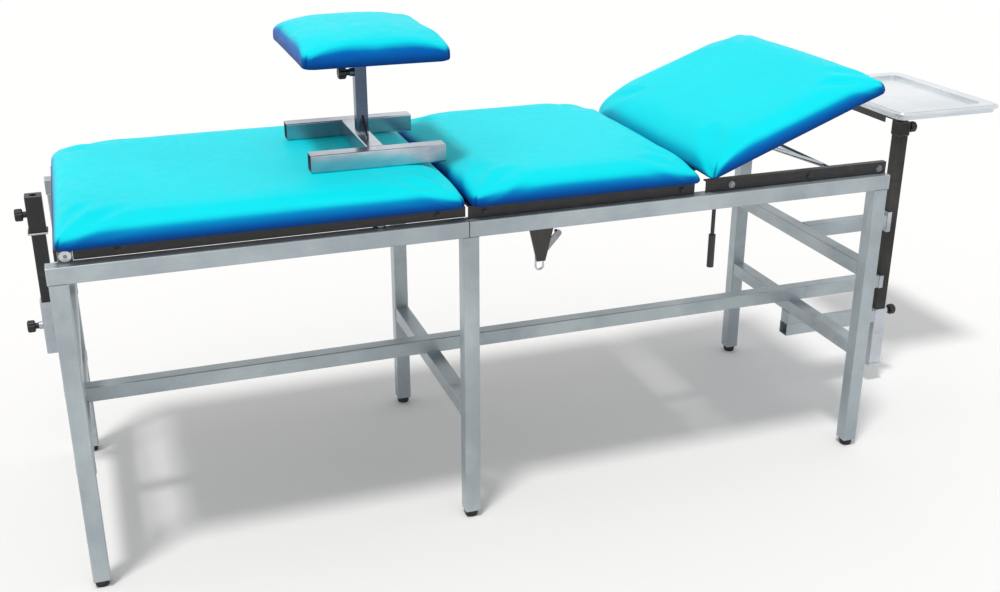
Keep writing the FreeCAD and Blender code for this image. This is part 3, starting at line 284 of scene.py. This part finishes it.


# Above this height in metres the stool's stem takes a painted shade: a dark blue-grey for the shade under
# the pad, with the cushion's blue reflected in it.
STOOL_SHADE_LEVEL = 0.836
MAKERS = {
    "frame_paint": steel("frame_steel", rgb(184, 194, 198), rgb(154, 165, 171), 0.5, (0.32, 0.48), 0.2),
    # The vinyl's second and third colours are painted shade: for its steep sides, and for low on them and in
    # its folds.
    "cushion_vinyl": vinyl("turquoise_vinyl", rgb(6, 240, 253), rgb(0, 106, 196), rgb(0, 48, 116)),
    "board_wood": plywood("dark_plywood"),
    "black_angle": paint("black_paint", rgb(20, 20, 23), rgb(84, 84, 88)),
    # Its dark tone is partly the steel's own and partly painted shade, for the head post and latch bracket
    # in shade.
    "post_paint": steel("dark_and_shaded_post_steel", rgb(70, 69, 66), rgb(36, 35, 34), 0.6, (0.34, 0.52)),
    "bright_steel": steel("bright_steel", rgb(206, 212, 218), rgb(156, 164, 172), 0.8, (0.24, 0.42)),
    "zinc_steel": steel("zinc_steel", rgb(160, 164, 168), rgb(108, 112, 118), 0.8, (0.34, 0.54), 0.5),
    "tray_steel": steel(
        "tray_steel", rgb(236, 241, 244), rgb(212, 219, 225), 0.5, (0.16, 0.28), dirt=0.08, bump=0.04
    ),
    # The stem's dark blue-grey above its height is painted shade with a painted reflection of the cushion.
    "chrome_wire": steel(
        "polished_steel", rgb(204, 212, 220), rgb(140, 150, 162), 0.85, (0.16, 0.3), dirt=0.2,
        post=(STOOL_SHADE_LEVEL, rgb(36, 60, 86))
    ),
    "knob_plastic": plastic("black_plastic", rgb(20, 20, 21)),
    "glide_rubber": rubber("glide_rubber"),
    "roller_steel": steel("roller_steel", rgb(226, 228, 230), rgb(188, 190, 194), 0.85, (0.2, 0.34)),
    "grip_plastic": plastic("grip_plastic", rgb(44, 45, 48), 0.5),
}
# Words in the nodes' names that tell which axis the grain runs along; all others have Z.
ALONG = {
    "X": ("rail", "stretcher", "arm", "underframe", "ledges", "stool_base", "racks", "tray_pan", "tray_rim"),
    "Y": ("crossbar", "prop", "hinge", "rollers", "tray_arm", "board", "cushion", "pad"),
}
made = {}


def look(slot, along="Z"):
    """The material of a slot, made once for each axis."""
    if (slot, along) not in made:
        made[slot, along] = MAKERS[slot](along)
    return made[slot, along]


def grain_axis(name):
    for axis, words in ALONG.items():
        if any(word in name for word in words):
            return axis
    return "Z"


for entry in frame["record"]["subparts"]:
    mesh = nodes[entry["node"]].data
    mesh.materials.clear()
    mesh.materials.append(look(entry["material_slot"], grain_axis(entry["node"])))


def new_object(form, name, place):
    """Make a mesh laid out in millimetres into an object, moved to its place."""
    mesh = bpy.data.meshes.new(name)
    form.to_mesh(mesh)
    form.free()
    mesh.transform(place @ Matrix.Scale(MM, 4))
    item = bpy.data.objects.new(name, mesh)
    scene.collection.objects.link(item)
    return item


def piece_from(form, name, body, slot, along="Z", smooth=False, place=FLAT):
    """Make a mesh laid out in millimetres into a piece that rides on a body."""
    piece = new_object(form, name, place)
    for face in piece.data.polygons:
        face.use_smooth = smooth
    piece.data.materials.append(look(slot, along))
    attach(piece, body)


# Upholstery

def foam(start, end, half, low, high, lean_start, lean_end, soft):
    """A block in millimetres, with leaning ends and rounded upper and upright edges."""
    form = bmesh.new()
    corners = []
    for z, in_start, in_end in ((low, 0.0, 0.0), (high, lean_start, lean_end)):
        first = start + in_start
        last = end - in_end
        plan = ((first, -half), (last, -half), (last, half), (first, half))
        corners += [form.verts.new((x, y, z)) for x, y in plan]
    form.faces.new([corners[i] for i in (3, 2, 1, 0)])
    form.faces.new(corners[4:])
    for i in range(4):
        j = (i + 1) % 4
        form.faces.new((corners[i], corners[j], corners[j + 4], corners[i + 4]))
    form.normal_update()
    upright = [e for e in form.edges if abs(e.verts[0].co.z - e.verts[1].co.z) > 1]
    bmesh.ops.bevel(form, geom=upright, offset=soft * 0.9, segments=5, profile=0.5, affect="EDGES")
    upper = []
    for edge in form.edges:
        level = min(v.co.z for v in edge.verts) > high - 0.5
        if level and abs(edge.link_faces[0].normal.z - edge.link_faces[1].normal.z) > 0.5:
            upper.append(edge)
    bmesh.ops.bevel(form, geom=upper, offset=soft, segments=6, profile=0.5, affect="EDGES")
    return form


def applied(piece):
    """Turn a piece's modifiers into plain mesh."""
    graph = bpy.context.evaluated_depsgraph_get()
    mesh = bpy.data.meshes.new_from_object(piece.evaluated_get(graph))
    piece.modifiers.clear()
    piece.data = mesh


def inflate(piece, held_below, cap, pressure, slack, frames=20):
    """Blow the cover up over its foam with a cloth simulation, its underside held.
    slack is how much of the simulated movement a taut cover keeps, across and up."""
    group = piece.vertex_groups.new(name="held")
    group.add([v.index for v in piece.data.vertices if v.co.z < held_below], 1.0, "REPLACE")
    rest = [v.co.copy() for v in piece.data.vertices]
    cloth = piece.modifiers.new("cover", "CLOTH")
    cloth.settings.quality = 5
    cloth.settings.mass = 0.3
    cloth.settings.tension_stiffness = 30
    cloth.settings.compression_stiffness = 30
    cloth.settings.shear_stiffness = 10
    cloth.settings.bending_stiffness = 3
    cloth.settings.vertex_group_mass = "held"
    cloth.settings.use_pressure = True
    cloth.settings.uniform_pressure_force = pressure
    cloth.settings.effector_weights.gravity = 0
    cloth.collision_settings.use_collision = False
    cloth.point_cache.frame_start = 1
    cloth.point_cache.frame_end = frames
    for step in range(1, frames + 1):
        scene.frame_set(step)
    applied(piece)
    for vertex, start in zip(piece.data.vertices, rest):
        move = vertex.co - start
        move = Vector((move.x * slack[0], move.y * slack[0], move.z * slack[1]))
        vertex.co = start + move * min(1.0, cap / max(move.length, 1e-9))
    piece.vertex_groups.clear()
    scene.frame_set(1)


def ease(value):
    """0 to 1 along a smooth step."""
    value = max(0.0, min(1.0, value))
    return value * value * (3 - 2 * value)


# How a cover lies, in millimetres: the width of the slope up from its edge, how far its ends and
# sides pull in and over what width, the folds at its corners, and the board's bare middle.
SLOPE = 170
PULLED_END = 2.0
PULLED_SIDE = 2.5
PULL_WIDTH = 60
FOLD_WIDTH = 3.2
FOLD_DEPTH = 2.2
FOLD_REACH = 34
COVER_MARGIN = 32


def upholster(name, body, stands_for, box, place, lean=(0.0, 0.0), soft=24.0, voxel=0.008, crown=7.0,
              corner=(0.42, 105.0), over=0.0, slack=(0.25, 0.6)):
    """One cushion: foam on a board inside a blown-up cover, pulled down over its corners.
    box is start, end, half width, low and high; corner is the share that the corners are drawn
    down and how far that reaches; over is how far the crown stands above the box."""
    start, end, half, low, high = box
    top = high + over
    tall = top - low
    block = foam(start + 1, end - 1, half - 2, low, top - 3, lean[0], lean[1], soft)
    piece = new_object(block, name, Matrix.Identity(4))
    even = piece.modifiers.new("even", "REMESH")
    even.mode = "VOXEL"
    even.voxel_size = voxel
    applied(piece)

    def ends_at(z):
        share = (z - low) / tall
        return start + lean[0] * share, end - lean[1] * share

    # crown the top, draw it down at the corners and pull the sides in between them
    for vertex in piece.data.vertices:
        x, y, z = vertex.co * 1000
        first, last = ends_at(z)
        in_x = min(x - first, last - x)
        in_y = half - abs(y)
        middle = (1 - abs(2 * (x - first) / (last - first) - 1) ** 3) * (1 - abs(y / half) ** 3)
        fall = crown * (1 - ease(min(in_x, in_y) / SLOPE + 0.15) * (0.6 + 0.4 * middle))
        near = max(0.0, 1 - math.hypot(max(in_x, 0), max(in_y, 0)) / corner[1])
        share = (1 - fall / tall) * (1 - corner[0] * near ** 1.6)
        z = low + (z - low) * share
        waist = math.sin(math.pi * max(0.0, min(1.0, (z - low) / tall * 0.8 + 0.1)))
        lengthwise = 1 - abs(2 * (x - start) / (end - start) - 1) ** 4
        y -= math.copysign(PULLED_SIDE, y) * ease(1 - in_y / PULL_WIDTH) * lengthwise * waist
        crosswise = 1 - abs(y / half) ** 4
        side = 1 if 2 * x > start + end else -1
        x -= side * PULLED_END * ease(1 - in_x / PULL_WIDTH) * crosswise * waist
        vertex.co = Vector((x, y, z)) / 1000
    inflate(piece, (low + 2) / 1000, 0.006, 4.0, slack)
    relax = piece.modifiers.new("relax", "SMOOTH")
    relax.factor = 0.5
    relax.iterations = 6
    finer = piece.modifiers.new("finer", "SUBSURF")
    finer.levels = 1
    applied(piece)

    # keep to the cushion's own space, fold the cover at the corners and mark where painted shade goes: on
    # the steep sides, low on them and in the folds
    mesh = piece.data
    lower = []
    crease_shade = []
    for vertex in mesh.vertices:
        x, y, z = vertex.co * 1000
        z = max(low, min(high + max(over, 0.2), z))
        first, last = ends_at(z)
        x = max(first + 0.4, min(last - 0.4, x))
        y = max(-half - 1, min(half + 1, y))
        in_x = min(x - first, last - x)
        in_y = half - abs(y)
        height = (z - low) / tall
        tuck = 0.0
        if in_x < FOLD_REACH and in_y < FOLD_REACH:
            tuck = math.exp(-(((in_x - in_y) / FOLD_WIDTH) ** 2))
        tuck *= ease((0.55 - height) / 0.3) * ease(height / 0.08)
        inward = Vector((1 if x < (start + end) / 2 else -1, -1 if y > 0 else 1, 0)).normalized()
        x += inward.x * FOLD_DEPTH * tuck
        y += inward.y * FOLD_DEPTH * tuck
        lower.append(0.9 * ease((0.5 - height) / 0.5))
        crease_shade.append(0.75 * tuck)
        vertex.co = Vector((x, y, z)) / 1000
    mesh.update()
    # painted shade marks: steep sides, the low band on them, and the corner folds
    side_shade = [ease((0.86 - vertex.normal.z) / 0.75) for vertex in mesh.vertices]
    under = [steep * share for steep, share in zip(side_shade, lower)]
    for mark, values in zip(MARKS, (side_shade, under, crease_shade)):
        mesh.attributes.new(mark, "FLOAT", "POINT").data.foreach_set("value", values)
    mesh.materials.clear()
    mesh.materials.append(look("cushion_vinyl"))
    mesh.materials.append(look("board_wood"))
    for face in mesh.polygons:
        x, y, z = face.center * 1000
        inside = min(x - start, end - x) > COVER_MARGIN and half - abs(y) > COVER_MARGIN
        face.material_index = 1 if inside and z < low + 1 else 0
        face.use_smooth = True
    mesh.transform(place)
    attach(piece, body)
    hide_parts(*stands_for)
    staples(name + "_staples", body, box, place)


# One staple's length, width and height, and how far its row lies inside the cushion's edge.
STAPLE = Matrix.Diagonal((11, 1.3, 0.7, 1))
STAPLE_INSET = 25


def staples(name, body, box, place):
    """Staples that hold the cover along the underside's two long margins."""
    start, end, half, low = box[:4]
    form = bmesh.new()
    inset = 45
    spacing = 38
    run = end - start - 2 * inset
    count = int(run / spacing)
    for side in (-1, 1):
        for i in range(count + 1):
            x = start + inset + i * run / count
            spot = Matrix.Translation((x, side * (half - STAPLE_INSET), low - 0.25))
            askew = Matrix.Rotation(0.35 * math.sin(i * 2.3 + side), 4, "Z")
            bar = bmesh.ops.create_cube(form, size=1, matrix=spot @ askew @ STAPLE)["verts"]
            edges = list({e for v in bar for e in v.link_edges})
            bmesh.ops.bevel(form, geom=edges, offset=0.2, segments=1, affect="EDGES")
    piece_from(form, name, body, "zinc_steel", "X", place=place)


# The cushions, in millimetres. The three long ones share a half width, the flat two their heights.
HALF = 325
LOW = 738.2
HIGH = 796
STOOL_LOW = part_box("stool_pad")[0].z * 1000
upholster("foot_pad", "leg_section", ("leg_cushion", "leg_board"), (14, 820, HALF, LOW, HIGH), FLAT)
upholster(
    "middle_pad", "frame", ("middle_cushion", "middle_board"), (824, 1362, HALF, LOW, HIGH), FLAT,
    lean=(0, 12), over=1
)
upholster(
    "back_pad", "backrest", ("head_cushion", "head_board"), (7, 479, HALF, 6.2, 64), RAISED,
    lean=(27, 0), over=1
)
upholster(
    "stool_cushion", "stool_top", ("stool_pad",), (519, 833, 189, STOOL_LOW + 0.2, STOOL_LOW + 58), FLAT,
    voxel=0.006, crown=10, corner=(0.42, 100), over=7, slack=(0.2, 0.3)
)


# Welds, bolts and trim

# The frame's tubes, in millimetres: half their width, the legs' places along the table, each
# crossbar's place and height, the frame's length, and the faces that the welds lie on. RUN is
# half the length of a weld across a tube, and SIDES is how many sides a bead's round has.
TUBE = 17.5
LEGS = (17.5, 826.0, 1827.5)
CROSSBARS = ((17.5, 440.0), (17.5, 265.0), (826.0, 265.0), (1827.5, 472.0), (1827.5, 265.0))
FRAME_END = 1845
RAIL_BOTTOM = 675
LEG_INSIDE = 280
STRETCHER_BOTTOM = 282.5
RUN = 16
SIDES = 8


def bead(form, a, b, radius=2.3):
    """A weld bead: a rippled round run between two points."""
    a, b = Vector(a), Vector(b)
    along = (b - a).normalized()
    across = along.orthogonal().normalized()
    up = along.cross(across)
    steps = max(4, int((b - a).length / 1.6))
    rings = []
    for i in range(steps + 1):
        share = i / steps
        swell = radius * (0.82 + 0.18 * math.sin(i * 2.1) + 0.06 * math.sin(i * 5.3 + a.x))
        swell *= min(1.0, 0.35 + 6 * min(share, 1 - share))
        centre = a.lerp(b, share) + across * 0.3 * math.sin(i * 1.3 + a.y)
        ring = []
        for j in range(SIDES):
            turn = 2 * math.pi * j / SIDES
            ring.append(form.verts.new(centre + (across * math.cos(turn) + up * math.sin(turn)) * swell))
        rings.append(ring)
    for first, second in zip(rings, rings[1:]):
        for j in range(SIDES):
            k = (j + 1) % SIDES
            form.faces.new((first[j], first[k], second[k], second[j]))
    form.faces.new(rings[0][::-1])
    form.faces.new(rings[-1])


def weld_frame():
    """Beads round the legs' tops, the crossbars' ends and under the stretcher."""
    form = bmesh.new()
    for leg_x in LEGS:
        for side in (-1, 1):
            inner = side * LEG_INSIDE
            for edge in (-TUBE, TUBE):
                x = leg_x + edge
                if 0.5 < x < FRAME_END - 0.5:
                    bead(form, (x, inner + side * 33, RAIL_BOTTOM), (x, inner + side * 2, RAIL_BOTTOM))
            bead(form, (leg_x - RUN, inner, RAIL_BOTTOM), (leg_x + RUN, inner, RAIL_BOTTOM))
    for x, z in CROSSBARS:
        for side in (-1, 1):
            inner = side * LEG_INSIDE
            for edge in (-TUBE, TUBE):
                bead(form, (x + edge, inner, z - RUN), (x + edge, inner, z + RUN))
            for edge in (TUBE, -TUBE):
                bead(form, (x - RUN, inner, z + edge), (x + RUN, inner, z + edge))
    for x in LEGS:
        for side in (-1, 1):
            y = side * TUBE
            bead(form, (x - 15, y, STRETCHER_BOTTOM), (x + 15, y, STRETCHER_BOTTOM))
    form.normal_update()
    piece_from(form, "frame_welds", "frame", "frame_paint", "X", smooth=True)


def bolt(form, centre, direction, across=10.0, tall=4.2):
    """A hexagon head with a bevelled crown on a washer."""
    facing = Vector(direction).to_track_quat("Z", "Y").to_matrix().to_4x4()
    place = Matrix.Translation(centre) @ facing
    # radius, height, and whether the ring is a hexagon
    shape = (
        (across * 0.78, 0.0, False),
        (across * 0.78, 1.4, False),
        (across * 0.58, 1.4, True),
        (across * 0.58, tall * 0.8, True),
        (across * 0.48, tall, True),
    )
    points = 24
    sector = math.pi / 3
    rings = []
    for radius, level, hexagon in shape:
        ring = []
        for i in range(points):
            turn = 2 * math.pi * i / points
            reach = radius
            if hexagon:
                reach = radius * math.cos(sector / 2) / math.cos((turn % sector) - sector / 2)
            spot = Vector((reach * math.cos(turn), reach * math.sin(turn), level))
            ring.append(form.verts.new(place @ spot))
        rings.append(ring)
    for first, second in zip(rings, rings[1:]):
        for i in range(points):
            j = (i + 1) % points
            form.faces.new((first[i], first[j], second[j], second[i]))
    form.faces.new(rings[0][::-1])
    form.faces.new(rings[-1])


def bolts(name, body, slot, spots):
    """One piece of several bolts, each at a centre and facing a direction."""
    form = bmesh.new()
    for centre, direction in spots:
        bolt(form, centre, direction)
    form.normal_update()
    piece_from(form, name, body, slot)


def trim_ring(name, body, centre, side, low, high, proud, slot):
    """A thin square band round a plate's edge."""
    form = bmesh.new()
    rings = []
    for z, out in ((low, 0.0), (low, proud), (high, proud), (high, 0.0)):
        half = side / 2 + out
        ring = []
        for dx, dy in ((-1, -1), (1, -1), (1, 1), (-1, 1)):
            ring.append(form.verts.new((centre[0] + dx * half, centre[1] + dy * half, z)))
        rings.append(ring)
    rings.append(rings[0])
    for first, second in zip(rings, rings[1:]):
        for i in range(4):
            j = (i + 1) % 4
            form.faces.new((first[i], first[j], second[j], second[i]))
    form.normal_update()
    bmesh.ops.bevel(form, geom=list(form.edges), offset=0.15, segments=1, affect="EDGES")
    piece_from(form, name, body, slot, "X")


weld_frame()
# The bolts go through the upright flanges of the angles under the boards.
FLANGE = 297
FIXED_Z = 723
ROLLING_Z = 726
end_spots = []
fixed_spots = []
rolling_spots = []
for side in (-1, 1):
    outward = Vector((0, side, 0))
    end_spots += [((x, side * FLANGE, FIXED_Z), outward) for x in (1440, 1826)]
    fixed_spots += [((x, side * FLANGE, FIXED_Z), outward) for x in (862, 1318, 1640)]
    rolling_spots += [((x, side * FLANGE, ROLLING_Z), outward) for x in (130, 760)]
bolts("ledge_bolts", "frame", "zinc_steel", end_spots)
bolts("flange_bolts", "frame", "black_angle", fixed_spots)
bolts("rolling_bolts", "leg_section", "black_angle", rolling_spots)
trim_ring("foot_post_band", "foot_end_post", (-26.0, 180.0), 42.0, 622.2, 625.8, 0.5, "bright_steel")


# Stage: pale floor, soft light and the photo's viewpoint

def stage():
    """The floor, a soft white world that is full white only where it is seen, and one large lamp."""
    bpy.ops.mesh.primitive_plane_add(size=30)
    floor = bpy.context.object
    floor.name = "floor"
    floor.location = (0, 3, -0.0005)
    s = Shader("pale_floor")
    s.finish(Base_Color=(0.985, 0.985, 0.985, 1.0), Roughness=0.9, Specular_IOR_Level=0.0)
    floor.data.materials.append(s.material)
    world = bpy.data.worlds.new("soft_world")
    world.use_nodes = True
    scene.world = world
    tree = world.node_tree
    rays = tree.nodes.new("ShaderNodeLightPath").outputs
    seen = rays["Is Camera Ray"]
    for name in ("Is Glossy Ray", "Is Transmission Ray"):
        either = tree.nodes.new("ShaderNodeMath")
        either.operation = "MAXIMUM"
        tree.links.new(seen, either.inputs[0])
        tree.links.new(rays[name], either.inputs[1])
        seen = either.outputs["Value"]
    level = tree.nodes.new("ShaderNodeMapRange")
    tree.links.new(seen, level.inputs["Value"])
    level.inputs["To Min"].default_value = 0.6
    tree.links.new(level.outputs["Result"], tree.nodes["Background"].inputs["Strength"])
    tree.nodes["Background"].inputs["Color"].default_value = (1.0, 1.0, 1.0, 1.0)
    lamp = bpy.data.lights.new("key", "SUN")
    lamp.energy = 1.42
    lamp.angle = math.radians(9)
    lamp.color = (1.0, 0.985, 0.96)
    key = bpy.data.objects.new("key", lamp)
    scene.collection.objects.link(key)
    key.rotation_euler = Vector((-0.23, -0.22, 0.95)).to_track_quat("Z", "Y").to_euler()


# The camera that was fitted to the photo: its place on the table's own terms, the way it faces in
# degrees, and its focal length in pixels of a picture 1000 pixels wide.
EYE = (101.16, -2544.86, 1510.5)
HEADING = 19.447
PITCH = 22.38
ROLL = 0.103
FOCAL = 1203.0
PICTURE_WIDTH = 1000
SENSOR_WIDTH = 36


def camera():
    h, p, r = (math.radians(v) for v in (HEADING, PITCH, ROLL))
    forward = Vector((math.sin(h) * math.cos(p), math.cos(h) * math.cos(p), -math.sin(p)))
    right = Vector((math.cos(h), -math.sin(h), 0))
    up = right.cross(forward)
    turned_right = right * math.cos(r) + up * math.sin(r)
    turned_up = up * math.cos(r) - right * math.sin(r)
    data = bpy.data.cameras.new("view")
    data.sensor_width = SENSOR_WIDTH
    data.lens = FOCAL / PICTURE_WIDTH * SENSOR_WIDTH
    data.clip_end = 60
    eye = bpy.data.objects.new("view", data)
    scene.collection.objects.link(eye)
    axes = Matrix((turned_right, turned_up, -forward)).transposed().to_4x4()
    eye.matrix_world = Matrix.Translation(at(*EYE)) @ axes
    scene.camera = eye


stage()
camera()
scene.view_settings.view_transform = "Standard"
